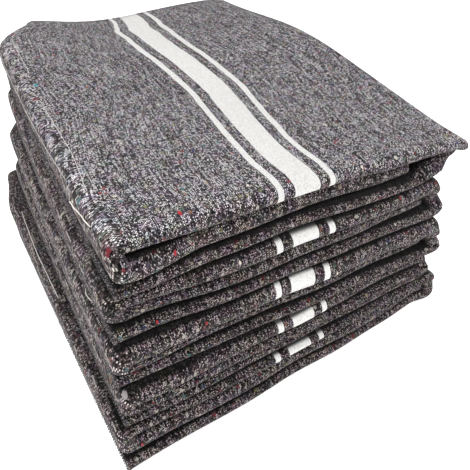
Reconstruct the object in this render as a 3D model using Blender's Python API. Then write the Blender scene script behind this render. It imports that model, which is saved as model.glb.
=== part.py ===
"""A stack of five folded moving blankets, coarse grey weave of recycled yarn.

Each blanket is one cloth. It is folded in thirds along its length, over and under its own free end,
and the strip that this makes is folded in thirds across its width, like a letter. That gives nine
layers. The front shows three rolled creases, one for each third of the strip, the left side shows the
tight fold of the upper two thirds above the free end of the lowest, and the right side shows the
wide wrap from the top third to the bottom third, around the free end of the middle one.

Units are metres, +Z is up, the front faces -Y, and the origin is under the middle of the stack.
"""

import math

import bpy
import numpy as np

# Driving sizes
CLOTH = 0.0030           # thickness of the raised, coarse weave
WIDTH = 0.500            # a folded blanket from side to side, a third of the flat width
DEPTH = 0.609            # front to back, a third of the flat length
BAND_AIR = 0.0020        # between one third of the strip and the next
PAD_AIR = 0.0004         # between one blanket and the next
MIDDLE_SHORT = 0.003     # how far the middle third ends short of the wrap on the right
LOWER_SHORT = 0.004      # how far the lowest third ends short of the left side
TUCK = 0.0045            # how far the free end of the length stays out of the front crease
LEAN_Y = -0.08           # change of height with y, as a share of the height for each metre
SQUARE_LIMIT = 0.93      # keeps the corners of the left folds round
PRESSED = 0.0005         # what is this near the floor is pressed flat on it
PINCH = 0.0014           # how much each band draws in, above and below, at its front crease
PINCH_REACH = 0.024      # and how far from the crease that starts

# One row for each blanket, from the floor up. The height is that of its nine layers with their air,
# at x = 0, and lean is its change with x, as a share for each metre: the right is mostly lower.
# The front edge is askew by skew_deg, and the left side draws in by taper towards the back. The wrap
# on the right leans by lip_deg: with a positive angle the top third reaches furthest to the right,
# and with a negative one the lowest third. The splits move the lines below the middle and the top
# third at the front, and rise and rise_lean lift what the blanket lies on towards the front. The phase
# sets each front's own wave, and a fine blanket gets more points, because its top shows.
COLUMNS = (
    "name", "height", "lean", "wider", "deeper", "shift_x", "shift_y", "skew_deg", "taper", "lip_deg",
    "low_split", "high_split", "rise", "rise_lean", "phase", "fine",
)
BLANKETS = (
    ("blanket_5", 0.062, -0.90, 0.031, 0.004, -0.0075, -0.006, 3.2, 0.014, -20.0,
     -0.002, 0.003, 0.000, 0.000, 0.4, False),
    ("blanket_4", 0.054, -0.80, -0.012, 0.000, -0.018, -0.002, 1.8, 0.036, 0.0,
     -0.003, -0.004, 0.004, 0.020, 2.1, False),
    ("blanket_3", 0.066, 0.40, 0.002, 0.002, -0.010, -0.001, 1.4, 0.042, -36.0,
     -0.005, -0.008, 0.0065, 0.004, 3.9, False),
    ("blanket_2", 0.075, 0.20, -0.024, 0.000, -0.016, -0.003, 1.4, 0.050, -30.0,
     -0.003, -0.003, 0.0095, 0.000, 5.2, False),
    ("blanket_1", 0.062, -0.75, -0.018, 0.000, -0.003, 0.000, 1.2, 0.045, 74.0,
     -0.005, 0.000, -0.002, 0.000, 1.1, True),
)

# How the front lies at each x of FRONT_AT, in millimetres. The creases of the top, middle and lowest
# third stand out by these.
FRONT_AT = (-0.220, -0.130, -0.040, 0.050, 0.140, 0.210, 0.250)
FRONT_COLUMNS = ("name", "band", "values")
FRONTS = (
    ("blanket_5", "top", (-9, -4, 0, -1, 0, 3, 3)),
    ("blanket_5", "middle", (-8, -6, -5, -2, -4, -6, 0)),
    ("blanket_5", "lowest", (-4, -4, -4, 1, -4, -6, 2)),
    ("blanket_4", "top", (11, 8, 5, -1, -4, -6, -6)),
    ("blanket_4", "middle", (4, 3, 6, 1, 3, 3, 3)),
    ("blanket_4", "lowest", (1, 0, 1, -4, -3, 0, 0)),
    ("blanket_3", "top", (9, 7, 0, 7, 3, 2, 2)),
    ("blanket_3", "middle", (-1, -3, -8, -5, -8, -13, -13)),
    ("blanket_3", "lowest", (-2, 1, -1, -2, 1, -1, -1)),
    ("blanket_2", "top", (-5, -1, 0, 5, 1, -1, -1)),
    ("blanket_2", "middle", (-10, -4, -5, -1, -10, -13, -13)),
    ("blanket_2", "lowest", (-4, 1, -3, 0, -1, -1, -1)),
    ("blanket_1", "top", (3, 3, 2, -1, 3, 4, 4)),
    ("blanket_1", "middle", (10, -8, -7, -9, -10, -10, -10)),
    ("blanket_1", "lowest", (5, -4, -4, 1, 1, 1, 1)),
)

# Soft swells and hollows of the top of the stack
SWELL_COLUMNS = ("x", "y", "reach_x", "reach_y", "rise")
SWELLS = (
    (-0.27, 0.30, 0.08, 0.12, -0.024),
    (-0.17, 0.24, 0.10, 0.10, 0.010),
    (-0.03, 0.28, 0.12, 0.09, -0.014),
    (0.21, 0.10, 0.09, 0.17, 0.012),
    (0.24, -0.01, 0.10, 0.16, 0.016),
    (0.24, -0.28, 0.10, 0.10, -0.006),
    (0.00, 0.08, 0.14, 0.07, 0.005),
    (0.00, -0.06, 0.16, 0.07, -0.005),
    (0.02, -0.19, 0.16, 0.07, 0.004),
)

# The wave of the creases along the front
WAVE_LENGTH = 0.26
WAVE_OUT = 0.0018
WAVE_UP = 0.0015


def rows(columns, table):
    return [dict(zip(columns, row)) for row in table]


def smooth(value):
    value = min(max(value, 0.0), 1.0)
    return value * value * (3.0 - 2.0 * value)


def trace(start, heading, moves):
    """Walks along folds. A move is (length, turn, steps), and each station is (point, left normal)."""
    across, up = start
    stations = [(across, up, -math.sin(heading), math.cos(heading))]
    for length, turn, steps in moves:
        step = turn / steps
        chord = 2.0 * length / turn * math.sin(step / 2.0) if turn else length / steps
        for _ in range(steps):
            across += chord * math.cos(heading + step / 2.0)
            up += chord * math.sin(heading + step / 2.0)
            heading += step
            stations.append((across, up, -math.sin(heading), math.cos(heading)))
    return stations


def length_fold(depth, pitch, run_steps, turn_steps):
    """The strip's section: top layer, front crease, lowest layer, back crease, middle layer."""
    front = -depth / 2.0 + pitch + CLOTH / 2.0
    back = depth / 2.0 - pitch / 2.0 - CLOTH / 2.0
    run = back - front
    moves = (
        (run, 0.0, run_steps),
        (math.pi * pitch, math.pi, turn_steps),
        (run, 0.0, run_steps),
        (math.pi * pitch / 2.0, math.pi, turn_steps - 1),
        (run - TUCK, 0.0, run_steps),
    )
    return trace((back, pitch), math.pi, moves)


def width_fold(width, band, lip, run_steps, turn_steps):
    """The strip's way: middle third, tight left fold, top third, wide wrap, lowest third."""
    half_band = (band - BAND_AIR) / 2.0
    left = -width / 2.0 + band / 2.0 + half_band
    right = width / 2.0 - band / 2.0 - half_band
    left_end = -width / 2.0 + LOWER_SHORT
    upper_turn = math.pi / 2.0 + lip
    lower_turn = math.pi / 2.0 - lip
    upper_right = min(right, right + band * math.tan(lip))
    lower_right = upper_right - band * math.tan(lip)
    middle_end = min(upper_right, lower_right) - MIDDLE_SHORT
    moves = (
        (middle_end - left, 0.0, run_steps),
        (math.pi * band / 2.0, -math.pi, turn_steps),
        (upper_right - left, 0.0, run_steps),
        (upper_turn * band / 2.0, -upper_turn, turn_steps // 2 + 1),
        (band / math.cos(lip), 0.0, 1),
        (lower_turn * band / 2.0, -lower_turn, turn_steps // 2),
        (lower_right - left, 0.0, run_steps),
        (left - left_end, 0.0, 1),
    )
    return trace((middle_end, 1.5 * band), math.pi, moves)


def swell(x, y):
    total = 0.0
    for bump in rows(SWELL_COLUMNS, SWELLS):
        away_x = (x - bump["x"]) / bump["reach_x"]
        away_y = (y - bump["y"]) / bump["reach_y"]
        total += bump["rise"] * math.exp(-away_x * away_x - away_y * away_y)
    return total


def along_front(name, band, x):
    """Runs smoothly from each value of a row of FRONTS to the next."""
    total = 0.0
    for row in rows(FRONT_COLUMNS, FRONTS):
        if row["name"] == name and row["band"] == band:
            values = row["values"]
            total += values[0]
            for start, stop, low, high in zip(FRONT_AT, FRONT_AT[1:], values, values[1:]):
                total += (high - low) * smooth((x - start) / (stop - start))
    return total / 1000.0


def level(index, x, y):
    """Height under the blanket with this index, counted from the floor: a slope, a little twisted."""
    blankets = rows(COLUMNS, BLANKETS)
    height = sum(pad["height"] * (1.0 + pad["lean"] * x + LEAN_Y * y) for pad in blankets[:index])
    if index < len(blankets):
        pad = blankets[index]
        height = height + (pad["rise"] + pad["rise_lean"] * x) * (0.5 - y / DEPTH)
    return height


def settle(point, index, blanket):
    """Moves a point of the ideal fold to where it lies in the real stack."""
    x, y, z = point
    name = blanket["name"]
    inner = blanket["height"] - BAND_AIR - CLOTH
    share = (z - CLOTH / 2.0) / inner
    top = smooth((share - 0.60) / 0.12)
    middle = smooth((share - 0.27) / 0.12) * (1.0 - top)
    lowest = 1.0 - top - middle
    nearness = smooth(0.5 - y / DEPTH)
    wave = 2.0 * math.pi * x / WAVE_LENGTH + blanket["phase"]
    depth_share = max(y / DEPTH + 0.5, 0.0)
    drawn_in = depth_share ** 1.3 + 1.25 * smooth((depth_share - 0.84) / 0.16)
    step = blanket["height"] / 3.0 / inner
    bands = (0.0, 1.0 - 2.0 * step, step, 1.0 - step, 2.0 * step, 1.0)
    pinch = PINCH / blanket["height"] * smooth((PINCH_REACH - DEPTH / 2.0 - y) / PINCH_REACH)
    low_split, high_split = blanket["low_split"] / inner, blanket["high_split"] / inner
    split = float(np.interp(share, bands, (0.0, low_split, low_split, high_split, high_split, 0.0)))
    drawn = float(np.interp(share, bands, (1.0, -1.0, 1.0, -1.0, 1.0, -1.0)))
    share += pinch * drawn + nearness * split
    x += blanket["taper"] * smooth(0.5 - x / WIDTH) * drawn_in
    x += blanket["shift_x"]
    out = top * along_front(name, "top", x)
    out += middle * along_front(name, "middle", x) + lowest * along_front(name, "lowest", x)
    y += WAVE_OUT * nearness * math.sin(wave + 2.6 * share) - out * nearness
    y += (x - blanket["shift_x"]) * math.tan(math.radians(blanket["skew_deg"])) + blanket["shift_y"]
    share += WAVE_UP / blanket["height"] * nearness * math.sin(math.pi * share) * math.sin(1.3 * wave)
    low = level(index, x, y) + CLOTH / 2.0
    high = level(index + 1, x, y) - PAD_AIR - CLOTH / 2.0
    if index == len(BLANKETS) - 1:
        high += swell(x, y)
    return x, y, low + share * (high - low)


def square_off(across, up, band, left):
    """Makes the round left fold of the upper two thirds a flatter wall, with rounded corners."""
    if across >= left or up <= band:
        return across
    away = min(((up - 2.0 * band) / band) ** 2, SQUARE_LIMIT)
    return left - (left - across) * ((1.0 + away) / (1.0 - away)) ** 0.25


def folded_points(index, blanket):
    """Grid of points on the middle of the cloth: along the strip, and along its section."""
    band = blanket["height"] / 3.0
    pitch = (band - BAND_AIR - CLOTH) / 2.0
    run_steps, turn_steps = (7, 5) if blanket["fine"] else (5, 4)
    lip = math.radians(blanket["lip_deg"])
    way = width_fold(WIDTH + blanket["wider"], band, lip, run_steps, turn_steps)
    section = length_fold(DEPTH + blanket["deeper"], pitch, run_steps, turn_steps)
    lowest = BAND_AIR / 2.0
    left = -(WIDTH + blanket["wider"]) / 2.0 + band - lowest
    grid = []
    for across, up, normal_x, normal_z in way:
        line = []
        for y, out, _, _ in section:
            height = up + out * normal_z
            sideways = square_off(across + out * normal_x, height, band, left)
            line.append(settle((sideways, y, height - lowest), index, blanket))
        grid.append(line)
    return grid


def woven_grey(name):
    material = bpy.data.materials.new(name)
    material.use_nodes = True
    shader = material.node_tree.nodes["Principled BSDF"]
    shader.inputs["Base Color"].default_value = (0.115, 0.108, 0.112, 1.0)
    shader.inputs["Roughness"].default_value = 0.95
    shader.inputs["Metallic"].default_value = 0.0
    return material


def make_blanket(name, grid, centre):
    """One sheet of cloth on the folded grid. Solidify gives it its thickness, half to each side."""
    count = len(grid[0])
    points = [(x - centre[0], y - centre[1], z) for line in grid for x, y, z in line]
    faces = []
    for row in range(len(grid) - 1):
        for column in range(count - 1):
            corner = row * count + column
            faces.append((corner, corner + 1, corner + count + 1, corner + count))
    mesh = bpy.data.meshes.new(name)
    mesh.from_pydata(points, [], faces)
    mesh.shade_smooth()
    mesh.materials.append(woven_grey(name + "_weave"))
    cloth = bpy.data.objects.new(name, mesh)
    bpy.context.scene.collection.objects.link(cloth)
    thickness = cloth.modifiers.new("Thickness", "SOLIDIFY")
    thickness.thickness = CLOTH
    thickness.offset = 0.0
    return cloth


def press_flat(cloth):
    """Gives the cloth its thickness for good, and lays its underside flat on the floor."""
    bpy.context.view_layer.update()
    graph = bpy.context.evaluated_depsgraph_get()
    mesh = bpy.data.meshes.new_from_object(cloth.evaluated_get(graph))
    cloth.modifiers.clear()
    cloth.data = mesh
    for vertex in mesh.vertices:
        if vertex.co.z < PRESSED:
            vertex.co.z = 0.0


def centre_of(grids):
    """Middle of the plan of the whole stack."""
    points = [point for grid in grids for line in grid for point in line]
    middle = []
    for axis in (0, 1):
        values = [point[axis] for point in points]
        middle.append((min(values) + max(values)) / 2.0)
    return middle


for old in list(bpy.data.objects):
    bpy.data.objects.remove(old, do_unlink=True)

blankets = rows(COLUMNS, BLANKETS)
grids = [folded_points(index, blanket) for index, blanket in enumerate(blankets)]
centre = centre_of(grids)
cloths = [make_blanket(blanket["name"], grid, centre) for blanket, grid in zip(blankets, grids)]
press_flat(cloths[0])
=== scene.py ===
"""The looks of a stack of five folded moving blankets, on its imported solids. Metres, +Z up, front at -Y."""

import math

import bpy
import numpy as np
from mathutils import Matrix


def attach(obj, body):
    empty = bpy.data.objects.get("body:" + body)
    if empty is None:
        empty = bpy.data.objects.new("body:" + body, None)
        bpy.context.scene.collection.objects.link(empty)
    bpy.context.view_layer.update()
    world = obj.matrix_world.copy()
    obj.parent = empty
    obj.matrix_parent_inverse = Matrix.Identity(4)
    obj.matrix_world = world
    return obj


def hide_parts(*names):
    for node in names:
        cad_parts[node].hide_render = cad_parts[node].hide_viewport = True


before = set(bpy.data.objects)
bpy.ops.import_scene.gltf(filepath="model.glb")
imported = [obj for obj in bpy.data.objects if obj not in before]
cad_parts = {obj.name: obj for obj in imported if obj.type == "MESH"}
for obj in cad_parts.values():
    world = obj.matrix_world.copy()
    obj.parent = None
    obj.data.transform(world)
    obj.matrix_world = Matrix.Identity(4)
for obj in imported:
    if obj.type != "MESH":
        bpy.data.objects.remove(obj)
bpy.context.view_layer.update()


# The five folded blankets
# Each is one cloth of about 1.5 by 1.8 m, woven from recycled yarn, with one triple white stripe. It is
# folded in thirds over its length and then, like a letter, over its width, and just laid on the next.
CLOTH = 0.0030           # thickness of the raised, coarse weave
WIDTH = 0.500            # a folded blanket from side to side
DEPTH = 0.609            # front to back
BAND_AIR = 0.0020        # between one third of the strip and the next
PAD_AIR = 0.0004         # between one blanket and the next
MIDDLE_SHORT = 0.003     # how far the middle third ends short of the wrap on the right
LOWER_SHORT = 0.004      # how far the lowest third ends short of the left side
TUCK = 0.0045            # how far the free end of the length stays out of the front crease
LEAN_Y = -0.08           # change of height with y, as a share of the height for each metre
CENTRE = (-0.00803, -0.00624)  # middle of the plan before the stack is centred
MILLIMETRES = 1000.0     # in a metre

# The stripe of the top blanket sways to the right by SWAY, in metres, and is wider or narrower by SPREAD,
# as a share, at these ways from the end of the cloth at the back
SWAY_AT = (0.00, 0.03, 0.06, 0.12, 0.17, 0.21, 0.25, 0.32, 0.355, 0.41, 0.46, 0.51, 0.54, 0.575, 0.62)
SWAY = (
    0.0, 0.015, 0.0255, 0.0255, 0.0205, 0.0195, 0.0245, 0.032,
    0.0315, 0.0205, 0.009, 0.0025, 0.0012, 0.0045, 0.001,
)
SPREAD_AT = (0.00, 0.17, 0.24, 0.31, 0.37, 0.44, 0.51, 0.58, 0.62)
SPREAD = (0.23, 0.15, 0.115, 0.09, 0.063, -0.012, -0.096, -0.07, -0.07)
STRIPE_REACH = 0.05      # how far from its middle line the stripe is spread

# One row for each blanket, from the floor up. The height is that of its nine layers with their air,
# at x = 0, and lean is its change with x, as a share for each metre: the right is mostly lower.
# The front edge is askew by skew_deg, and the left side draws in by taper towards the back. The wrap
# on the right leans by lip_deg: with a positive angle the top third reaches furthest to the right,
# and with a negative one the lowest third. The splits move the lines below the middle and the top
# third at the front, and rise and rise_lean lift what the blanket lies on towards the front. The phase
# sets each front's own wave. The mesh has run_steps from front to back, stripe is how far the stripe
# lies from the middle of the cloth, and tone is how light the weave is.
COLUMNS = (
    "name", "height", "lean", "wider", "deeper", "shift_x", "shift_y", "skew_deg", "taper", "lip_deg",
    "low_split", "high_split", "rise", "rise_lean", "phase", "run_steps", "stripe", "tone",
)
BLANKETS = (
    ("blanket_5", 0.062, -0.90, 0.031, 0.004, -0.0075, -0.006, 3.2, 0.014, -20.0,
     -0.002, 0.003, 0.000, 0.000, 0.4, 28, -0.025, 0.95),
    ("blanket_4", 0.054, -0.80, -0.012, 0.000, -0.018, -0.002, 1.8, 0.036, 0.0,
     -0.003, -0.004, 0.004, 0.020, 2.1, 28, -0.0100, 0.92),
    ("blanket_3", 0.066, 0.40, 0.002, 0.002, -0.010, -0.001, 1.4, 0.042, -36.0,
     -0.005, -0.008, 0.0065, 0.004, 3.9, 28, -0.0292, 1.00),
    ("blanket_2", 0.075, 0.20, -0.024, 0.000, -0.016, -0.003, 1.4, 0.050, -30.0,
     -0.003, -0.003, 0.0095, 0.000, 5.2, 28, -0.0258, 0.97),
    ("blanket_1", 0.062, -0.75, -0.018, 0.000, -0.003, 0.000, 1.2, 0.045, 74.0,
     -0.005, 0.000, -0.002, 0.000, 1.1, 38, -0.065, 1.05),
)

# How the front lies at each x of FRONT_AT, in millimetres. The creases of the top, middle and lowest
# third stand out by these.
FRONT_AT = (-0.220, -0.130, -0.040, 0.050, 0.140, 0.210, 0.250)
FRONT_COLUMNS = ("name", "band", "values")
FRONTS = (
    ("blanket_5", "top", (-9, -4, 0, -1, 0, 3, 3)),
    ("blanket_5", "middle", (-8, -6, -5, -2, -4, -6, 0)),
    ("blanket_5", "lowest", (-4, -4, -4, 1, -4, -6, 2)),
    ("blanket_4", "top", (11, 8, 5, -1, -4, -6, -6)),
    ("blanket_4", "middle", (4, 3, 6, 1, 3, 3, 3)),
    ("blanket_4", "lowest", (1, 0, 1, -4, -3, 0, 0)),
    ("blanket_3", "top", (9, 7, 0, 7, 3, 2, 2)),
    ("blanket_3", "middle", (-1, -3, -8, -5, -8, -13, -13)),
    ("blanket_3", "lowest", (-2, 1, -1, -2, 1, -1, -1)),
    ("blanket_2", "top", (-5, -1, 0, 5, 1, -1, -1)),
    ("blanket_2", "middle", (-10, -4, -5, -1, -10, -13, -13)),
    ("blanket_2", "lowest", (-4, 1, -3, 0, -1, -1, -1)),
    ("blanket_1", "top", (3, 3, 2, -1, 3, 4, 4)),
    ("blanket_1", "middle", (10, -8, -7, -9, -10, -10, -10)),
    ("blanket_1", "lowest", (5, -4, -4, 1, 1, 1, 1)),
)
PINCH = 0.0014           # how much each band draws in, above and below, at its front crease
PINCH_REACH = 0.024      # and how far from the crease that starts
TOP_FROM = 0.60          # share of a blanket's height from which the top third's own front holds
MIDDLE_FROM = 0.27       # and the middle third's
THIRD_BLEND = 0.12       # over this share of the height one goes over into the next
TAPER_CURVE = 1.3        # the left side draws in a little more with each step back
CORNER_DRAW = 1.25       # and more still at its back corner, as a share of the taper
CORNER_FROM = 0.84       # from this share of the depth
CORNER_REACH = 0.16      # over this share
SQUARE_LIMIT = 0.93      # keeps the corners of the left folds round
CREVICE_START = 0.0029   # how far behind a front crease the painted shade of its crevice starts
CREVICE_REACH = 0.0044   # and over what depth it gets there
CREVICE_FRONT = 0.090    # the painted shade of the crevices further back, at the sides, is fainter
CREVICE_FADE = 0.04      # over this depth
SIDE_CREVICE = 0.35      # and by this share
STRIP_LEVEL = 0.75       # where the strip stands steeper than this, at its sides, there is no painted crevice shade

# Steps of the mesh over one folded width, round a front and a back crease, round the left fold, round the
# upper bend of the wrap, down its slant and round its lower bend, and over the end of the lowest third
ACROSS_STEPS = 84
FRONT_STEPS = 16
BACK_STEPS = 12
LEFT_STEPS = 20
UPPER_WRAP_STEPS = 12
SLANT_STEPS = 6
LOWER_WRAP_STEPS = 10
END_STEPS = 3

# Soft swells and hollows of the top of the stack
SWELL_COLUMNS = ("x", "y", "reach_x", "reach_y", "rise")
SWELLS = (
    (-0.27, 0.30, 0.08, 0.12, -0.024),
    (-0.17, 0.24, 0.10, 0.10, 0.010),
    (-0.03, 0.28, 0.12, 0.09, -0.014),
    (0.21, 0.10, 0.09, 0.17, 0.012),
    (0.24, -0.01, 0.10, 0.16, 0.016),
    (0.24, -0.28, 0.10, 0.10, -0.006),
    (0.00, 0.08, 0.14, 0.07, 0.005),
    (0.00, -0.06, 0.16, 0.07, -0.005),
    (0.02, -0.19, 0.16, 0.07, 0.004),
)

# The wave of the creases along the front. From the lowest layer to the top one it shifts by WAVE_SHIFT,
# in radians, and there are UP_WAVES waves up and down for each one in and out.
WAVE_LENGTH = 0.26
WAVE_OUT = 0.0018
WAVE_UP = 0.0015
WAVE_SHIFT = 2.6
UP_WAVES = 1.3


def rows(columns, table):
    """The rows of a table, each under the names of its columns."""
    return [dict(zip(columns, row)) for row in table]


def smooth(value):
    """Goes from 0 to 1 without a kink at either end."""
    value = np.clip(value, 0.0, 1.0)
    return value * value * (3.0 - 2.0 * value)


def trace(start, heading, moves):
    """Walks along folds. A move is (length, turn, steps), a station (point, left normal, way walked)."""
    across, up = start
    walked = 0.0
    stations = [(across, up, -math.sin(heading), math.cos(heading), walked)]
    for length, turn, steps in moves:
        step = turn / steps
        chord = 2.0 * length / turn * math.sin(step / 2.0) if turn else length / steps
        for _ in range(steps):
            across += chord * math.cos(heading + step / 2.0)
            up += chord * math.sin(heading + step / 2.0)
            heading += step
            walked += length / steps
            stations.append((across, up, -math.sin(heading), math.cos(heading), walked))
    return np.array(stations)


def length_fold(depth, pitch, run_steps):
    """The strip's section: top layer, front crease, lowest layer, back crease, middle layer."""
    front = -depth / 2.0 + pitch + CLOTH / 2.0
    back = depth / 2.0 - pitch / 2.0 - CLOTH / 2.0
    run = back - front
    moves = (
        (run, 0.0, run_steps),
        (math.pi * pitch, math.pi, FRONT_STEPS),
        (run, 0.0, run_steps),
        (math.pi * pitch / 2.0, math.pi, BACK_STEPS),
        (run - TUCK, 0.0, run_steps),
    )
    return trace((back, pitch), math.pi, moves)


def width_fold(width, band, lip):
    """The strip's way: middle third, tight left fold, top third, wide wrap, lowest third."""
    half_band = (band - BAND_AIR) / 2.0
    left = -width / 2.0 + band / 2.0 + half_band
    right = width / 2.0 - band / 2.0 - half_band
    left_end = -width / 2.0 + LOWER_SHORT
    upper_turn = math.pi / 2.0 + lip
    lower_turn = math.pi / 2.0 - lip
    upper_right = min(right, right + band * math.tan(lip))
    lower_right = upper_right - band * math.tan(lip)
    middle_end = min(upper_right, lower_right) - MIDDLE_SHORT
    moves = (
        (middle_end - left, 0.0, ACROSS_STEPS),
        (math.pi * band / 2.0, -math.pi, LEFT_STEPS),
        (upper_right - left, 0.0, ACROSS_STEPS),
        (upper_turn * band / 2.0, -upper_turn, UPPER_WRAP_STEPS),
        (band / math.cos(lip), 0.0, SLANT_STEPS),
        (lower_turn * band / 2.0, -lower_turn, LOWER_WRAP_STEPS),
        (lower_right - left, 0.0, ACROSS_STEPS),
        (left - left_end, 0.0, END_STEPS),
    )
    return trace((middle_end, 1.5 * band), math.pi, moves)


def swell(x, y):
    """Height of the swells and hollows at a place of the plan."""
    total = 0.0
    for bump in rows(SWELL_COLUMNS, SWELLS):
        away_x = (x - bump["x"]) / bump["reach_x"]
        away_y = (y - bump["y"]) / bump["reach_y"]
        total = total + bump["rise"] * np.exp(-away_x * away_x - away_y * away_y)
    return total


def along_front(name, band, x):
    """Runs smoothly from each value of a row of FRONTS to the next."""
    total = 0.0
    for row in rows(FRONT_COLUMNS, FRONTS):
        if row["name"] == name and row["band"] == band:
            values = row["values"]
            total = total + values[0]
            for start, stop, low, high in zip(FRONT_AT, FRONT_AT[1:], values, values[1:]):
                total = total + (high - low) * smooth((x - start) / (stop - start))
    return total / MILLIMETRES


def level(index, x, y):
    """Height under the blanket with this index, counted from the floor: a slope, a little twisted."""
    blankets = rows(COLUMNS, BLANKETS)
    height = sum(pad["height"] * (1.0 + pad["lean"] * x + LEAN_Y * y) for pad in blankets[:index])
    if index < len(blankets):
        pad = blankets[index]
        height = height + (pad["rise"] + pad["rise_lean"] * x) * (0.5 - y / DEPTH)
    return height


def settle(x, y, z, index, blanket):
    """Moves points of the ideal fold to where they lie in the real stack, as its solids do."""
    name = blanket["name"]
    inner = blanket["height"] - BAND_AIR - CLOTH
    share = (z - CLOTH / 2.0) / inner
    top = smooth((share - TOP_FROM) / THIRD_BLEND)
    middle = smooth((share - MIDDLE_FROM) / THIRD_BLEND) * (1.0 - top)
    lowest = 1.0 - top - middle
    nearness = smooth(0.5 - y / DEPTH)
    wave = 2.0 * math.pi * x / WAVE_LENGTH + blanket["phase"]
    depth_share = np.maximum(y / DEPTH + 0.5, 0.0)
    drawn_in = depth_share ** TAPER_CURVE + CORNER_DRAW * smooth((depth_share - CORNER_FROM) / CORNER_REACH)
    step = blanket["height"] / 3.0 / inner
    bands = (0.0, 1.0 - 2.0 * step, step, 1.0 - step, 2.0 * step, 1.0)
    pinch = PINCH / blanket["height"] * smooth((PINCH_REACH - DEPTH / 2.0 - y) / PINCH_REACH)
    low_split, high_split = blanket["low_split"] / inner, blanket["high_split"] / inner
    split = np.interp(share, bands, (0.0, low_split, low_split, high_split, high_split, 0.0))
    share = share + pinch * np.interp(share, bands, (1.0, -1.0, 1.0, -1.0, 1.0, -1.0)) + nearness * split
    x = x + blanket["taper"] * smooth(0.5 - x / WIDTH) * drawn_in
    x = x + blanket["shift_x"]
    out = top * along_front(name, "top", x)
    out = out + middle * along_front(name, "middle", x) + lowest * along_front(name, "lowest", x)
    y = y - out * nearness + WAVE_OUT * nearness * np.sin(wave + WAVE_SHIFT * share)
    y = y + (x - blanket["shift_x"]) * math.tan(math.radians(blanket["skew_deg"])) + blanket["shift_y"]
    wave_up = WAVE_UP / blanket["height"] * nearness
    share = share + wave_up * np.sin(math.pi * share) * np.sin(UP_WAVES * wave)
    low = level(index, x, y) + CLOTH / 2.0
    high = level(index + 1, x, y) - PAD_AIR - CLOTH / 2.0
    if index == len(BLANKETS) - 1:
        high = high + swell(x, y)
    return x, y, low + share * (high - low)


def square_off(across, up, band, left):
    """Makes the round left fold of the upper two thirds a flatter wall, with rounded corners."""
    away = np.minimum(((up - 2.0 * band) / band) ** 2, SQUARE_LIMIT)
    squarer = left - (left - across) * ((1.0 + away) / (1.0 - away)) ** 0.25
    return np.where((across < left) & (up > band), squarer, across)


def evened(walked, x, z):
    """The way walked over the cloth, evened out where the left fold is squared off."""
    first, last = ACROSS_STEPS, ACROSS_STEPS + LEFT_STEPS
    real = np.concatenate([[0.0], np.cumsum(np.hypot(np.diff(x), np.diff(z)))])
    share = (real - real[first]) / (real[last] - real[first])
    fold = walked[first] + share * (walked[last] - walked[first])
    return np.where((share > 0.0) & (share < 1.0), fold, walked)


def folded_cloth(index, blanket):
    """Grids of points, flat coordinates and depth between the folds, and the way walked over the cloth."""
    band = blanket["height"] / 3.0
    pitch = (band - BAND_AIR - CLOTH) / 2.0
    way = width_fold(WIDTH + blanket["wider"], band, math.radians(blanket["lip_deg"]))
    section = length_fold(DEPTH + blanket["deeper"], pitch, blanket["run_steps"])
    out = section[None, :, 1]
    x = way[:, None, 0] + out * way[:, None, 2]
    z = way[:, None, 1] + out * way[:, None, 3]
    x = square_off(x, z, band, -(WIDTH + blanket["wider"]) / 2.0 + band - BAND_AIR / 2.0)
    z = z - BAND_AIR / 2.0
    across = evened(way[:, 4], x[:, 0], z[:, 0])
    y = np.broadcast_to(section[None, :, 0], x.shape)
    x, y, z = settle(x, y, z, index, blanket)
    flat = np.stack(np.broadcast_arrays(across[:, None], section[None, :, 4]), axis=-1)
    # How deep each point lies in a crevice between folds, for the painted shade there
    behind = smooth((section[:, 0] - section[:, 0].min() - CREVICE_START) / CREVICE_REACH)
    near = smooth((CREVICE_FRONT + section[:, 0].min() - section[:, 0]) / CREVICE_FADE)
    inside = smooth((np.abs(way[:, None, 3]) - STRIP_LEVEL) / (1.0 - STRIP_LEVEL))
    crevice = (behind * (SIDE_CREVICE + (1.0 - SIDE_CREVICE) * near))[None, :] * inside
    return np.stack([x - CENTRE[0], y - CENTRE[1], z], axis=-1), flat, crevice, way[:, 4]


def grid_mesh(name, points, flat):
    """One sheet of quads on the grid, with the flat coordinates, in metres, as its UV map."""
    count_across, count_along = points.shape[:2]
    corner = np.arange(count_across * count_along).reshape(count_across, count_along)
    faces = np.stack(
        [corner[:-1, :-1], corner[:-1, 1:], corner[1:, 1:], corner[1:, :-1]], axis=-1
    ).reshape(-1, 4)
    mesh = bpy.data.meshes.new(name)
    mesh.from_pydata(points.reshape(-1, 3), [], faces.tolist())
    mesh.shade_smooth()
    layer = mesh.uv_layers.new(name="cloth")
    layer.uv.foreach_set("vector", flat.reshape(-1, 2)[faces.ravel()].astype(np.float32).ravel())
    return mesh


def linear(hex_colour):
    """An sRGB hex value as linear RGBA."""
    shares = [int(hex_colour[start:start + 2], 16) / 255.0 for start in (1, 3, 5)]
    return [s / 12.92 if s <= 0.04045 else ((s + 0.055) / 1.055) ** 2.4 for s in shares] + [1.0]


def add(tree, kind, inputs=(), stops=(), **settings):
    """Adds a node. An input is a value, or the node or output that feeds it. Stops are for a ramp."""
    made = tree.nodes.new(kind)
    for name, value in settings.items():
        setattr(made, name, value)
    for key, value in inputs.items() if isinstance(inputs, dict) else enumerate(inputs):
        if isinstance(value, bpy.types.Node):
            value = value.outputs[0]
        if isinstance(value, bpy.types.NodeSocket):
            tree.links.new(value, made.inputs[key])
        else:
            made.inputs[key].default_value = value
    for number, (place, colour) in enumerate(stops):
        element = made.color_ramp.elements[number] if number < 2 else made.color_ramp.elements.new(place)
        element.position, element.color = place, linear(colour)
    return made
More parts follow.
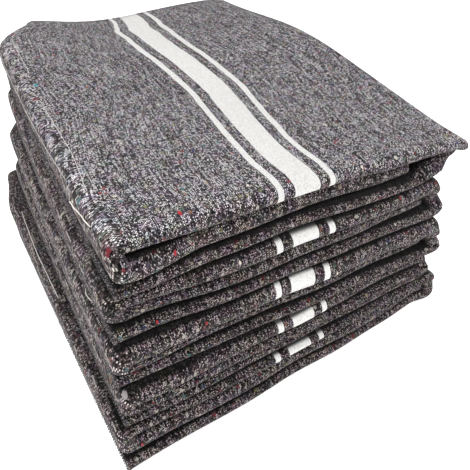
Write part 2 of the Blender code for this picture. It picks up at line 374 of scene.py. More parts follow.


# Recycled-yarn plain weave: light warp from front to back, and darker weft across. The yarn is spun from
# shredded rags, so each thread keeps changing its grey and holds coloured flecks. Woven coarse, it is salt
# and pepper, with painted shade in the pinholes between its threads. The stripes are bleached warp. Light
# and shade are painted into its colour too: lighter on the upper side of the stack, darker and warmer off
# it, and dark deep in the crevices between the folds.
THREAD = 0.00120         # from one thread to the next
THREAD_SWAY = 0.0022     # how far the threads wander from side to side
SWAYS = 30.0             # for each metre, so one every 33 mm
WARP_CHANGES = 28.0      # of a warp thread's grey for each metre, so one every 36 mm
WEFT_CHANGES = 160.0     # of a weft thread's grey, so one every 6 mm
THREAD_APART = 7.37      # gives neighbouring threads greys of their own
WEFT_APART = 50.0        # and the weft other greys than the warp
WARP_GREY = (1.6, -0.64)   # how much it changes, and where it starts, from dark to light
WEFT_GREY = (0.45, -0.34)
YARN_LUMPS = 600.0       # for each metre, so one every 1.7 mm
YARN_LUMPINESS = 0.12
SPOT_GREY = 0.85         # how much the spots differ where threads come up
PAINTED_SIDE_SHADE = -0.08           # painted shade: how much darker the yarn is off the upper side of the stack
TINT_PATCHES = 70.0      # for each metre, so one every 14 mm
TINT = 0.38
TUFTS = 190.0            # places for a tuft for each metre, so one every 5 mm
TUFT_EDGE = (0.31, 0.35)   # a tuft lies where its noise is below this
TUFT_SHARE = 0.85
FLECK_SPACING = 0.0090
FLECK_SIZE = (0.17, 0.10)  # how much a fleck's radius varies, and its least, as shares of the spacing
FLECK_BARE = 0.42        # share of the flecks' places that are bare
FLECK_SHARE = 0.82
WIDE_STRIPE = 0.0350
THIN_STRIPE = 0.0082
STRIPE_GAP = 0.0143
PINHOLE_EDGE = 0.05      # the product of the threads' rounds below which the painted shade of a pinhole starts
PINHOLE_LIGHT = 0.4
SIDE_LIGHT = 0.78        # painted shade: lightness of the weave off the upper side of the stack
UPPER_LIGHT = 0.97       # and painted light on it
UPPER_STRIPE = 0.86      # painted shade on the stripe on it, so that the light there doesn't burn it out
CREVICE_LIGHT = 0.06     # lightness of the painted shade deep between two folds
SPOT_RISE = 0.4          # how much higher some spots stand, as a share of a thread's round
STRIPE_SINK = -0.35      # the bleached warp lies lower
FLECK_COLOURS = (
    (0.00, "#0b090c"), (0.56, "#e2dcd0"), (0.64, "#8e303a"), (0.70, "#34446e"), (0.77, "#4d7f86"),
    (0.81, "#9a6a50"), (0.85, "#8f8f58"), (0.89, "#5b4f68"), (0.93, "#bfae94"), (0.97, "#4a6653"),
)
YARN_GREYS = (
    (0.04, "#050303"), (0.30, "#231c1e"), (0.50, "#4e464a"),
    (0.68, "#8d868c"), (0.86, "#d6d1d7"), (1.00, "#fbf9fb"),
)

# Sockets of a mix, by number, as their names repeat: the share, the colours under and over, the values at
# no and at full share, and the colour that comes out
SHARE, UNDER, OVER, AT_NONE, AT_FULL, COLOUR = 0, 6, 7, 2, 3, 2


def woven_yarn(name, stripe, tone, seed):
    """The weave of one cloth, with its stripe at this way across it."""
    material = bpy.data.materials.new(name)
    material.use_nodes = True
    tree = material.node_tree
    shader = tree.nodes["Principled BSDF"]
    flat = add(tree, "ShaderNodeUVMap", uv_map="cloth")
    sway = add(tree, "ShaderNodeTexNoise", {"Vector": flat, "Scale": SWAYS}, noise_dimensions="2D")
    sway_inputs = (sway.outputs["Color"], (THREAD_SWAY, THREAD_SWAY, 0.0), flat)
    bent = add(tree, "ShaderNodeVectorMath", sway_inputs, operation="MULTIPLY_ADD")
    along = add(tree, "ShaderNodeSeparateXYZ", (bent,))
    warp_at = add(tree, "ShaderNodeMath", (along.outputs["X"], THREAD), operation="DIVIDE")
    weft_at = add(tree, "ShaderNodeMath", (along.outputs["Y"], THREAD), operation="DIVIDE")
    warp_number = add(tree, "ShaderNodeMath", (warp_at,), operation="FLOOR")
    weft_number = add(tree, "ShaderNodeMath", (weft_at,), operation="FLOOR")
    both = add(tree, "ShaderNodeMath", (warp_number, weft_number), operation="ADD")
    weft_over = add(tree, "ShaderNodeMath", (both, 2.0), operation="FLOORED_MODULO")

    # Grey of each thread along its length, and of each spot where it comes up
    cell = add(tree, "ShaderNodeCombineXYZ", (warp_number, weft_number, seed))
    dice = add(tree, "ShaderNodeTexWhiteNoise", {"Vector": cell}, noise_dimensions="3D")
    warp_line = add(tree, "ShaderNodeMath", (warp_number, THREAD_APART, seed), operation="MULTIPLY_ADD")
    weft_lines = (weft_number, THREAD_APART, seed + WEFT_APART)
    weft_line = add(tree, "ShaderNodeMath", weft_lines, operation="MULTIPLY_ADD")
    warp_run = add(tree, "ShaderNodeMath", (along.outputs["Y"], WARP_CHANGES), operation="MULTIPLY")
    weft_run = add(tree, "ShaderNodeMath", (along.outputs["X"], WEFT_CHANGES), operation="MULTIPLY")
    warp_place = add(tree, "ShaderNodeCombineXYZ", (warp_line, warp_run))
    weft_place = add(tree, "ShaderNodeCombineXYZ", (weft_run, weft_line))
    runs = {"Vector": warp_place, "Scale": 1.0, "Detail": 2.0}
    warp_noise = add(tree, "ShaderNodeTexNoise", runs, noise_dimensions="2D")
    runs["Vector"] = weft_place
    weft_noise = add(tree, "ShaderNodeTexNoise", runs, noise_dimensions="2D")
    light_warp = add(tree, "ShaderNodeMath", (warp_noise, *WARP_GREY), operation="MULTIPLY_ADD")
    dark_weft = add(tree, "ShaderNodeMath", (weft_noise, *WEFT_GREY), operation="MULTIPLY_ADD")
    threads = {SHARE: weft_over, AT_NONE: light_warp, AT_FULL: dark_weft}
    yarn_grey = add(tree, "ShaderNodeMix", threads, data_type="FLOAT")
    lumps = {"Vector": flat, "Scale": YARN_LUMPS, "Detail": 1.0, "Roughness": 0.7}
    lump = add(tree, "ShaderNodeTexNoise", lumps, noise_dimensions="2D")
    lumpy = add(tree, "ShaderNodeMath", (lump, YARN_LUMPINESS, yarn_grey), operation="MULTIPLY_ADD")
    spotty = add(tree, "ShaderNodeMath", (dice, SPOT_GREY, lumpy), operation="MULTIPLY_ADD")
    upper = add(tree, "ShaderNodeAttribute", attribute_name="upper").outputs["Fac"]
    side_shading = add(tree, "ShaderNodeMapRange", {"Value": upper, "To Min": PAINTED_SIDE_SHADE, "To Max": 0.0})
    grey_there = add(tree, "ShaderNodeMath", (spotty, side_shading), operation="ADD")
    side_shaded_grey = add(tree, "ShaderNodeValToRGB", (grey_there,), stops=YARN_GREYS)
    # Painted shade: off the upper side the weave gets a warmer tint than on the lit top
    warm = {SHARE: upper, UNDER: linear("#fff4ef"), OVER: linear("#ffffff")}
    warmth = add(tree, "ShaderNodeMix", warm, data_type="RGBA")
    warmer = {SHARE: 1.0, UNDER: side_shaded_grey, OVER: warmth.outputs[COLOUR]}
    grey = add(tree, "ShaderNodeMix", warmer, data_type="RGBA", blend_type="MULTIPLY")

    # Dyed rags in the yarn: a faint tint in patches, and small strong flecks
    patches = {"Vector": flat, "Scale": TINT_PATCHES, "Detail": 4.0}
    patch = add(tree, "ShaderNodeTexNoise", patches, noise_dimensions="2D")
    tint = {SHARE: TINT, UNDER: grey.outputs[COLOUR], OVER: patch.outputs["Color"]}
    tinted = add(tree, "ShaderNodeMix", tint, data_type="RGBA", blend_type="OVERLAY")
    spots = add(tree, "ShaderNodeVectorMath", (cell, (THREAD / FLECK_SPACING,) * 3), operation="MULTIPLY")
    fleck = add(tree, "ShaderNodeTexVoronoi", {"Vector": spots, "Scale": 1.0}, voronoi_dimensions="2D")
    chance = add(tree, "ShaderNodeSeparateColor", (fleck.outputs["Color"],)).outputs
    fleck_size = add(tree, "ShaderNodeMath", (chance["Blue"], *FLECK_SIZE), operation="MULTIPLY_ADD")
    fleck_near = add(tree, "ShaderNodeMath", (fleck.outputs["Distance"], fleck_size), operation="LESS_THAN")
    fleck_there = add(tree, "ShaderNodeMath", (chance["Red"], FLECK_BARE), operation="GREATER_THAN")
    fleck_mask = add(tree, "ShaderNodeMath", (fleck_near, fleck_there), operation="MULTIPLY")
    fleck_share = add(tree, "ShaderNodeMath", (fleck_mask, FLECK_SHARE), operation="MULTIPLY")
    fleck_colour = add(tree, "ShaderNodeValToRGB", (chance["Green"],), stops=FLECK_COLOURS)
    fleck_colour.color_ramp.interpolation = "CONSTANT"
    flecks = {SHARE: fleck_share, UNDER: tinted.outputs[COLOUR], OVER: fleck_colour}
    spotted = add(tree, "ShaderNodeMix", flecks, data_type="RGBA")

    # Tufts of black rag, a few millimetres long, that lie across several threads
    tufts = {"Vector": flat, "Scale": TUFTS, "Detail": 2.0, "Distortion": 0.6}
    tuft = add(tree, "ShaderNodeTexNoise", tufts, noise_dimensions="2D")
    tuft_range = {"Value": tuft, "From Min": TUFT_EDGE[0], "From Max": TUFT_EDGE[1]}
    tuft_range |= {"To Min": TUFT_SHARE, "To Max": 0.0}
    tuft_there = add(tree, "ShaderNodeMapRange", tuft_range)
    black = {SHARE: tuft_there, UNDER: spotted.outputs[COLOUR], OVER: linear("#0d0b0e")}
    tufted = add(tree, "ShaderNodeMix", black, data_type="RGBA")

    # Bleached stripes, one wide between two thin
    stripe_way = add(tree, "ShaderNodeMath", (along.outputs["X"], stripe), operation="SUBTRACT")
    from_stripe = add(tree, "ShaderNodeMath", (stripe_way,), operation="ABSOLUTE")
    wide = add(tree, "ShaderNodeMath", (from_stripe, WIDE_STRIPE / 2.0), operation="LESS_THAN")
    thin_at = WIDE_STRIPE / 2.0 + STRIPE_GAP + THIN_STRIPE / 2.0
    thin = add(tree, "ShaderNodeMath", (from_stripe, thin_at, THIN_STRIPE / 2.0), operation="COMPARE")
    stripes = add(tree, "ShaderNodeMath", (wide, thin), operation="MAXIMUM")
    bleached = add(tree, "ShaderNodeValToRGB", (dice,), stops=((0.0, "#d9d6d2"), (0.35, "#f6f5f3")))
    bands = {SHARE: stripes, UNDER: tufted.outputs[COLOUR], OVER: bleached}
    striped = add(tree, "ShaderNodeMix", bands, data_type="RGBA")

    # Painted shade in the pinholes between the threads, and inside the folds
    warp_in = add(tree, "ShaderNodeMath", (warp_at,), operation="FRACT")
    weft_in = add(tree, "ShaderNodeMath", (weft_at,), operation="FRACT")
    warp_round = add(tree, "ShaderNodeMath", (warp_in, 0.5), operation="PINGPONG")
    weft_round = add(tree, "ShaderNodeMath", (weft_in, 0.5), operation="PINGPONG")
    middle = add(tree, "ShaderNodeMath", (warp_round, weft_round), operation="MULTIPLY")
    hole_range = {"Value": middle, "From Max": PINHOLE_EDGE, "To Min": PINHOLE_LIGHT}
    hole = add(tree, "ShaderNodeMapRange", hole_range)
    # Painted light on the upper side and painted shade off it; the stripe is painted darker on the upper
    # side, against the light there
    light_range = {"Value": upper, "To Min": tone * SIDE_LIGHT, "To Max": tone * UPPER_LIGHT}
    lit = add(tree, "ShaderNodeMapRange", light_range)
    weave_shade = add(tree, "ShaderNodeMath", (hole, lit), operation="MULTIPLY")
    painted_stripe_shade = add(tree, "ShaderNodeMapRange", {"Value": upper, "To Min": 1.0, "To Max": UPPER_STRIPE})
    shades = {SHARE: stripes, AT_NONE: weave_shade, AT_FULL: painted_stripe_shade}
    plain_shade = add(tree, "ShaderNodeMix", shades, data_type="FLOAT")
    # Painted shade deep in the crevices between the folds
    crevice = add(tree, "ShaderNodeAttribute", attribute_name="crevice").outputs["Fac"]
    deep = add(tree, "ShaderNodeMapRange", {"Value": crevice, "To Min": 1.0, "To Max": CREVICE_LIGHT})
    shade = add(tree, "ShaderNodeMath", (plain_shade, deep), operation="MULTIPLY")
    shaded = {SHARE: 1.0, UNDER: striped.outputs[COLOUR], OVER: shade}
    coloured = add(tree, "ShaderNodeMix", shaded, data_type="RGBA", blend_type="MULTIPLY")
    tree.links.new(coloured.outputs[COLOUR], shader.inputs["Base Color"])

    # The rounds of the threads, as fine relief
    rounds = {SHARE: weft_over, AT_NONE: warp_round, AT_FULL: weft_round}
    profile = add(tree, "ShaderNodeMix", rounds, data_type="FLOAT")
    raised = add(tree, "ShaderNodeMath", (dice, SPOT_RISE, profile), operation="MULTIPLY_ADD")
    relief = add(tree, "ShaderNodeMath", (stripes, STRIPE_SINK, raised), operation="MULTIPLY_ADD")
    bump = add(tree, "ShaderNodeBump", {"Strength": 0.8, "Distance": 0.001, "Height": relief})
    tree.links.new(bump.outputs[0], shader.inputs["Normal"])
    shader.inputs["Roughness"].default_value = 0.96
    shader.inputs["Specular IOR Level"].default_value = 0.12
    shader.inputs["Sheen Weight"].default_value = 0.08
    shader.inputs["Sheen Roughness"].default_value = 0.5
    return material


# The material reads two attributes: "upper" is 1 on the upper side of the stack and 0 from UPPER_DEPTH
# below it, and "crevice" is how deep a point lies between two folds. With them light is painted on the
# upper side, and shade off it and in the crevices.
UPPER_DEPTH = 0.012
SEED_APART = 13.7        # gives each cloth's weave its own greys

blankets = rows(COLUMNS, BLANKETS)
cloths = {}
laid = {}
for index, blanket in enumerate(blankets):
    points, flat, crevice, walked = folded_cloth(index, blanket)
    laid[blanket["name"]] = (points, walked, flat[0, :, 1].copy())
    stripe = flat[..., 0].max() / 2.0 + blanket["stripe"]
    is_top = index == len(blankets) - 1
    if is_top:
        flat[..., 0] -= np.interp(flat[..., 1], SWAY_AT, SWAY)
        spread = np.interp(flat[..., 1], SPREAD_AT, SPREAD)
        flat[..., 0] -= spread * np.clip(flat[..., 0] - stripe, -STRIPE_REACH, STRIPE_REACH)
    mesh = grid_mesh(blanket["name"] + "_cloth", points, flat)
    # Where light is painted, on the upper side of the top blanket, with the crevices' painted shade kept off
    # it
    plan_x, plan_y = points[..., 0] + CENTRE[0], points[..., 1] + CENTRE[1]
    top = level(index + 1, plan_x, plan_y) + swell(plan_x, plan_y) - CLOTH
    upper = smooth((points[..., 2] - top + UPPER_DEPTH) / UPPER_DEPTH) if is_top else 0.0 * top
    for name, values in (("upper", upper), ("crevice", crevice * (1.0 - upper))):
        attribute = mesh.attributes.new(name, "FLOAT", "POINT")
        attribute.data.foreach_set("value", values.astype(np.float32).ravel())
    weave_name = "recycled_yarn_weave_" + str(len(blankets) - index)
    mesh.materials.append(woven_yarn(weave_name, stripe, blanket["tone"], SEED_APART * index))
    cloth = bpy.data.objects.new(blanket["name"] + "_cloth", mesh)
    bpy.context.scene.collection.objects.link(cloth)
    thickness = cloth.modifiers.new("Thickness", "SOLIDIFY")
    thickness.thickness = CLOTH
    thickness.offset = 0.0
    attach(cloth, "root")
    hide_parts(blanket["name"])
    cloths[blanket["name"]] = cloth


# Overcast edges
# The long edges of each cloth are overcast with grey yarn, sewn over them by machine. One shows at the
# left, where the lowest third of a folded blanket ends, and goes round that third's creases.
STITCH_STEP = 0.0042     # from one stitch to the next
STITCH_RADIUS = 0.00055  # of the sewing yarn
STITCH_SIDES = 3         # of the sewing yarn, which is too thin to show more
LOOP_REACH = 0.6         # how far a stitch goes round the edge, as a share of the cloth's thickness
LOOP_STEPS = 8
STITCH_SLANT = (0.35, 0.30, 0.0)  # how far a stitch may turn either way, in radians
MOTTLES = 420.0          # changes of the sewing yarn's grey for each metre, so one every 2.4 mm
SEWING_GREYS = ((0.38, "#0e0b0c"), (0.50, "#3c3638"), (0.62, "#9a9296"))


def overcast_tree(material):
    """Stitches along a guide: each a small loop of yarn round the edge of the cloth, a little uneven."""
    tree = bpy.data.node_groups.new("overcast_edge", "GeometryNodeTree")
    face = tree.interface
    face.new_socket("Geometry", in_out="INPUT", socket_type="NodeSocketGeometry")
    step = face.new_socket("Stitch step", in_out="INPUT", socket_type="NodeSocketFloat")
    radius = face.new_socket("Yarn radius", in_out="INPUT", socket_type="NodeSocketFloat")
    face.new_socket("Geometry", in_out="OUTPUT", socket_type="NodeSocketGeometry")
    entry = add(tree, "NodeGroupInput")
    sizes = {"Curve": entry.outputs["Geometry"], "Length": entry.outputs["Stitch step"]}
    points = add(tree, "GeometryNodeCurveToPoints", sizes, mode="LENGTH")
    loop_sizes = {"Resolution": LOOP_STEPS, "Radius": CLOTH * LOOP_REACH}
    loop = add(tree, "GeometryNodeCurvePrimitiveCircle", loop_sizes)
    thin = {"Resolution": STITCH_SIDES, "Radius": entry.outputs["Yarn radius"]}
    round_yarn = add(tree, "GeometryNodeCurvePrimitiveCircle", thin)
    yarn = {"Curve": loop.outputs["Curve"], "Profile Curve": round_yarn.outputs["Curve"]}
    stitch = add(tree, "GeometryNodeCurveToMesh", yarn)
    other_way = tuple(-angle for angle in STITCH_SLANT)
    slant = {"Min": other_way, "Max": STITCH_SLANT, "Seed": 7}
    uneven = add(tree, "FunctionNodeRandomValue", slant, data_type="FLOAT_VECTOR")
    turn = {"Rotation": points.outputs["Rotation"], "Rotate By": uneven}
    turned = add(tree, "FunctionNodeRotateRotation", turn, rotation_space="LOCAL")
    places = {"Points": points, "Instance": stitch, "Rotation": turned}
    sewn = add(tree, "GeometryNodeInstanceOnPoints", places)
    real = add(tree, "GeometryNodeRealizeInstances", (sewn,))
    dyed = add(tree, "GeometryNodeSetMaterial", {"Geometry": real, "Material": material})
    leave = add(tree, "NodeGroupOutput")
    tree.links.new(dyed.outputs[0], leave.inputs[0])
    return tree, {"step": step.identifier, "radius": radius.identifier}


def plain_yarn(name, colour):
    """Loose or sewn yarn and loose fibre, matt and a little fuzzy."""
    material = bpy.data.materials.new(name)
    material.use_nodes = True
    shader = material.node_tree.nodes["Principled BSDF"]
    shader.inputs["Base Color"].default_value = linear(colour)
    shader.inputs["Roughness"].default_value = 0.9
    shader.inputs["Sheen Weight"].default_value = 0.2
    return material


# The overcasting yarn is spun from the same rags, so its grey changes every few millimetres
sewing_yarn = plain_yarn("mottled_overcasting_yarn", "#4a4548")
yarn_nodes = sewing_yarn.node_tree
sewing_place = add(yarn_nodes, "ShaderNodeTexCoord").outputs["Object"]
mottle = add(yarn_nodes, "ShaderNodeTexNoise", {"Vector": sewing_place, "Scale": MOTTLES, "Detail": 2.0})
mottled = add(yarn_nodes, "ShaderNodeValToRGB", (mottle,), stops=SEWING_GREYS)
yarn_nodes.links.new(mottled.outputs[0], yarn_nodes.nodes["Principled BSDF"].inputs["Base Color"])
sewing_tree, sewing_sockets = overcast_tree(sewing_yarn)


def sew_edge(name, path):
    """Overcasts the edge that runs along the path of points."""
    curve = bpy.data.curves.new(name + "_guide", "CURVE")
    curve.dimensions = "3D"
    spline = curve.splines.new("POLY")
    spline.points.add(len(path) - 1)
    for point, place in zip(spline.points, path):
        point.co = (*place, 1.0)
    guide = bpy.data.objects.new(name + "_guide", curve)
    bpy.context.scene.collection.objects.link(guide)
    sewing = guide.modifiers.new("Overcast", "NODES")
    sewing.node_group = sewing_tree
    sewing[sewing_sockets["step"]] = STITCH_STEP
    sewing[sewing_sockets["radius"]] = STITCH_RADIUS
    graph = bpy.context.evaluated_depsgraph_get()
    mesh = bpy.data.meshes.new_from_object(guide.evaluated_get(graph))
    bpy.data.objects.remove(guide, do_unlink=True)
    mesh.name = name
    mesh.shade_smooth()
    edge = bpy.data.objects.new(name, mesh)
    bpy.context.scene.collection.objects.link(edge)
    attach(edge, "root")
    return edge


# Lumps of dyed rag
# Thick soft lumps in the yarn, where the shredded rags weren't combed out. Each is an uneven flat bead of
# fibre, in the surface of the weave. The strong ones are placed here, by their ways across and along the
# cloth, in metres, with their length and breadth in millimetres.
LUMP_COLUMNS = ("blanket", "across", "along", "length", "breadth", "colour")
LUMPS = (
    ("blanket_1", 0.4609, 0.5889, 9.0, 4.4, "red"),
    ("blanket_1", 0.3219, 0.6090, 8.5, 4.2, "red"),
    ("blanket_1", 0.4961, 0.3660, 5.5, 2.8, "blue"),
    ("blanket_1", 0.5230, 0.4949, 5.0, 3.2, "blue"),
    ("blanket_1", 0.4034, 0.2561, 9.0, 6.0, "teal"),
    ("blanket_1", 0.4492, 0.1706, 5.0, 3.0, "red"),
    ("blanket_1", 0.4605, 0.1677, 6.0, 3.0, "teal"),
    ("blanket_1", 0.4650, 0.2861, 4.5, 3.0, "rust"),
    ("blanket_1", 0.4761, 0.2804, 5.0, 2.6, "blue"),
    ("blanket_1", 0.5290, 0.4296, 4.5, 2.4, "olive"),
    ("blanket_1", 0.4041, 0.5251, 4.0, 2.6, "red"),
    ("blanket_1", 0.6835, 0.5485, 4.5, 2.6, "red"),
    ("blanket_1", 0.7660, 0.4400, 4.0, 2.4, "blue"),
    ("blanket_1", 0.5925, 0.2063, 5.0, 2.6, "black"),
    ("blanket_1", 0.6885, 0.2246, 4.5, 2.8, "black"),
    ("blanket_1", 0.4931, 0.5368, 4.0, 2.6, "black"),
    ("blanket_1", 0.5437, 0.5800, 4.0, 2.4, "cream"),
    ("blanket_1", 0.6811, 0.5998, 4.5, 2.6, "cream"),
    ("blanket_1", 0.3852, 0.4960, 9.0, 6.0, "black"),
    ("blanket_1", 0.3868, 0.5030, 6.0, 3.4, "cream"),
    ("blanket_2", 0.5747, 0.6020, 5.5, 3.6, "cream"),
    ("blanket_2", 1.3326, 0.6098, 5.0, 3.2, "red"),
    ("blanket_2", 0.8057, 0.5981, 4.5, 3.0, "red"),
    ("blanket_2", 0.9965, 0.6153, 4.5, 2.8, "cream"),
    ("blanket_3", 0.7495, 0.6110, 4.5, 3.0, "cream"),
    ("blanket_3", 0.5642, 0.6044, 4.5, 3.4, "red"),
    ("blanket_3", 0.4709, 0.4960, 9.0, 6.0, "black"),
    ("blanket_4", 0.4757, 0.5944, 12.0, 8.0, "lint"),
    ("blanket_5", 0.4741, 0.6111, 6.0, 3.6, "red"),
)
LUMP_COLOURS = {
    "red": "#a1222e", "blue": "#243a74", "teal": "#3d8794", "rust": "#b0683f", "olive": "#a3a24c",
    "black": "#0d0b0e", "cream": "#ded8c8", "lint": "#8d8887",
}
LUMP_HEIGHT = 0.0011
LUMP_SUNK = 0.0002       # how deep its rim lies in the weave
LUMP_UNEVEN = (0.7, 1.15)  # least and most of its reach, as shares
LUMP_SIDES = 9
LUMP_RINGS = 4


def on_cloth(name, across, along, lift=0.0):
    """A place on the outer side of a folded cloth: its point, warp direction and outward normal."""
    points, across_at, along_at = laid[name]
    row = min(int(np.interp(across, across_at, np.arange(len(across_at)))), len(across_at) - 2)
    column = min(int(np.interp(along, along_at, np.arange(len(along_at)))), len(along_at) - 2)
    one = (across - across_at[row]) / (across_at[row + 1] - across_at[row])
    two = (along - along_at[column]) / (along_at[column + 1] - along_at[column])
    near = points[row, column] * (1.0 - one) + points[row + 1, column] * one
    far = points[row, column + 1] * (1.0 - one) + points[row + 1, column + 1] * one
    weft = points[row + 1, column] - points[row, column]
    warp = (far - near) / np.linalg.norm(far - near)
    outward = np.cross(warp, weft)
    outward /= np.linalg.norm(outward)
    return near * (1.0 - two) + far * two + outward * (CLOTH / 2.0 + lift), warp, outward


def place_mesh(name, blanket, points, faces, materials, numbers):
    """An object on a blanket, with a material number for each face."""
    mesh = bpy.data.meshes.new(name)
    mesh.from_pydata([tuple(point) for point in points], [], faces)
    for material in materials:
        mesh.materials.append(material)
    mesh.polygons.foreach_set("material_index", numbers)
    mesh.shade_smooth()
    made = bpy.data.objects.new(name, mesh)
    bpy.context.scene.collection.objects.link(made)
    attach(made, "root")
    pieces[blanket].append(made)


pieces = {blanket["name"]: [] for blanket in blankets}
lump_dyes = {name: plain_yarn(name + "_rag_fibre", colour) for name, colour in LUMP_COLOURS.items()}
uneven = np.random.default_rng(5)
dyes = list(LUMP_COLOURS)
for blanket in blankets:
    points, faces, numbers = [], [], []
    for lump in rows(LUMP_COLUMNS, LUMPS):
        if lump["blanket"] != blanket["name"]:
            continue
        middle, warp, outward = on_cloth(lump["blanket"], lump["across"], lump["along"])
        weft = np.cross(outward, warp)
        first = len(points)
        for ring in range(LUMP_RINGS):
            rise = math.sin(math.pi / 2.0 * ring / LUMP_RINGS)
            spread = math.cos(math.pi / 2.0 * ring / LUMP_RINGS)
            for side in range(LUMP_SIDES):
                angle = 2.0 * math.pi * side / LUMP_SIDES
                reach = spread * uneven.uniform(*LUMP_UNEVEN) / 2.0 / MILLIMETRES
                offset = warp * (math.cos(angle) * lump["length"] * reach)
                offset = offset + weft * (math.sin(angle) * lump["breadth"] * reach)
                points.append(middle + offset + outward * (LUMP_HEIGHT * rise - LUMP_SUNK))
        points.append(middle + outward * LUMP_HEIGHT)
        for ring in range(LUMP_RINGS - 1):
            for side in range(LUMP_SIDES):
                here, beside = first + ring * LUMP_SIDES, (side + 1) % LUMP_SIDES
                above = here + LUMP_SIDES
                faces.append((here + side, here + beside, above + beside, above + side))
                numbers.append(dyes.index(lump["colour"]))
        last = first + (LUMP_RINGS - 1) * LUMP_SIDES
        for side in range(LUMP_SIDES):
            faces.append((last + side, last + (side + 1) % LUMP_SIDES, last + LUMP_SIDES))
            numbers.append(dyes.index(lump["colour"]))
    place_mesh(blanket["name"] + "_lumps", blanket["name"], points, faces, lump_dyes.values(), numbers)


# Loose and bleached yarn
# A few bleached warp yarns run from front to back near the left folds, proud of the weave, and two cut
# ends hang loose there. Each path gives ways across and along the cloth, in metres. The radius, the waver
# and the lift off the weave are in millimetres.
YARN_COLUMNS = ("blanket", "name", "colour", "radius", "waver", "lift", "path")
YARNS = (
    ("blanket_1", "bleached_yarn_a", "#c9c3c0", 0.40, 0.3, 0.0,
     ((0.4037, 0.06), (0.4035, 0.14), (0.4037, 0.215))),
    ("blanket_1", "bleached_yarn_b", "#c4bebb", 0.40, 0.4, 0.0,
     ((0.3860, 0.10), (0.3861, 0.30), (0.3914, 0.475))),
    ("blanket_1", "bleached_yarn_c", "#c9c3c0", 0.40, 0.3, 0.0,
     ((0.3996, 0.30), (0.4005, 0.43), (0.3979, 0.515))),
    ("blanket_1", "loose_end", "#e4dfd6", 0.65, 1.2, 1.6,
     ((0.3862, 0.500), (0.3885, 0.530), (0.3909, 0.560))),
    ("blanket_3", "loose_end", "#d8d2c8", 0.65, 1.8, 1.8,
     ((0.4709, 0.497), (0.4711, 0.515), (0.4717, 0.535))),
    ("blanket_5", "bleached_yarn", "#e9e6e2", 0.50, 0.4, 0.0,
     ((0.5116, 0.13), (0.5094, 0.25), (0.5096, 0.355))),
)
YARN_SIDES = 5
YARN_STEP = 0.004
SMOOTHINGS = 2           # rounds that even out the waver and the lift

for yarn in rows(YARN_COLUMNS, YARNS):
    across, along = np.array(yarn["path"]).T
    count = int((along[-1] - along[0]) / YARN_STEP)
    places = np.linspace(along[0], along[-1], count)
    waver = uneven.normal(0.0, yarn["waver"] / 2.0 / MILLIMETRES, count)
    sideways = np.interp(places, along, across) + waver
    lifts = np.abs(uneven.normal(yarn["lift"], yarn["lift"] / 2.0, count)) / MILLIMETRES
    for _ in range(SMOOTHINGS):
        sideways[1:-1] = (sideways[:-2] + 2.0 * sideways[1:-1] + sideways[2:]) / 4.0
        lifts[1:-1] = (lifts[:-2] + 2.0 * lifts[1:-1] + lifts[2:]) / 4.0
    points, faces = [], []
    for number, (side_at, at, lift) in enumerate(zip(sideways, places, lifts)):
        middle, warp, outward = on_cloth(yarn["blanket"], side_at, at, lift)
        weft = np.cross(outward, warp)
        for side in range(YARN_SIDES):
            angle = 2.0 * math.pi * side / YARN_SIDES
            around = outward * math.cos(angle) + weft * math.sin(angle)
            points.append(middle + around * (yarn["radius"] / MILLIMETRES))
        if number:
            for side in range(YARN_SIDES):
                here, beside = (number - 1) * YARN_SIDES, (side + 1) % YARN_SIDES
                ahead = here + YARN_SIDES
                faces.append((here + side, ahead + side, ahead + beside, here + beside))
    name = yarn["blanket"] + "_" + yarn["name"]
    colour = plain_yarn(name, yarn["colour"])
    place_mesh(name, yarn["blanket"], points, faces, [colour], [0] * len(faces))

# Each cloth's overcast edge is sewn along the end of its lowest third, and kept with what else lies on it
for index, blanket in enumerate(blankets):
    grid, across_at, along_at = laid[blanket["name"]]
    path = [tuple(point) for point in grid[-1]]
    edge = sew_edge(blanket["name"] + "_overcast_edge", path)
    pieces[blanket["name"]].append(edge)
    cloth, sewn_on = cloths[blanket["name"]], pieces[blanket["name"]]


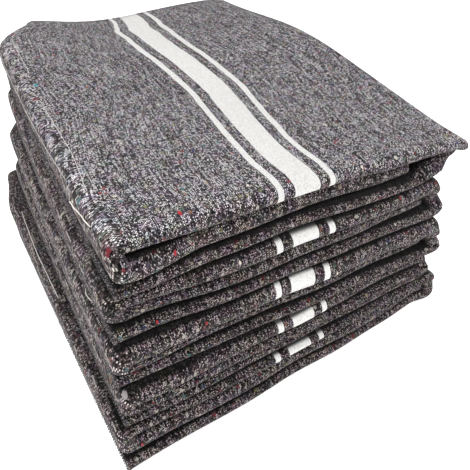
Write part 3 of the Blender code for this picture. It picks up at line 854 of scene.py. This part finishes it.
# Floor, light and camera
# A pale studio floor that runs out of view, soft light from high on the left and at the front, and the
# camera at the photo's angle.
FLOOR_REACH = 8.0
floor_mesh = bpy.data.meshes.new("floor")
corners = [(x * FLOOR_REACH, y * FLOOR_REACH, 0.0) for x, y in ((-1, -1), (1, -1), (1, 1), (-1, 1))]
floor_mesh.from_pydata(corners, [], [(0, 1, 2, 3)])
floor = bpy.data.objects.new("floor", floor_mesh)
bpy.context.scene.collection.objects.link(floor)
floor_paint = bpy.data.materials.new("matt_white_floor")
floor_paint.use_nodes = True
floor_shader = floor_paint.node_tree.nodes["Principled BSDF"]
floor_shader.inputs["Base Color"].default_value = linear("#f6f6f6")
floor_shader.inputs["Roughness"].default_value = 0.9
floor_shader.inputs["Emission Color"].default_value = linear("#ffffff")
floor_shader.inputs["Emission Strength"].default_value = 0.6
floor_mesh.materials.append(floor_paint)

world = bpy.data.worlds.new("studio")
world.use_nodes = True
world.node_tree.nodes["Background"].inputs["Color"].default_value = linear("#ffffff")
world.node_tree.nodes["Background"].inputs["Strength"].default_value = 0.55
bpy.context.scene.world = world

LIGHT_COLUMNS = ("name", "place", "aim", "size", "power")
LIGHTS = (
    ("high_left", (-1.5, 0.2, 2.1), (0.0, 0.0, 0.2), 1.6, 39.0),
    ("high_front", (0.3, -1.5, 2.5), (0.0, -0.1, 0.2), 1.0, 34.0),
)
for row in rows(LIGHT_COLUMNS, LIGHTS):
    lamp = bpy.data.lights.new(row["name"], "AREA")
    lamp.size = row["size"]
    lamp.energy = row["power"]
    light = bpy.data.objects.new(row["name"], lamp)
    light.location = row["place"]
    aim = np.array(row["aim"]) - np.array(row["place"])
    light.rotation_euler = (
        math.atan2(math.hypot(aim[0], aim[1]), -aim[2]), 0.0, math.atan2(-aim[0], aim[1])
    )
    bpy.context.scene.collection.objects.link(light)

camera_data = bpy.data.cameras.new("camera")
camera_data.sensor_width = 36.0
camera_data.lens = 45.73
camera = bpy.data.objects.new("camera", camera_data)
camera.location = (-0.3327, -0.6905, 0.6905)
camera.rotation_euler = [math.radians(angle) for angle in (49.17, 0.42, -31.02)]
bpy.context.scene.collection.objects.link(camera)
bpy.context.scene.camera = camera
bpy.context.scene.view_settings.view_transform = "Standard"
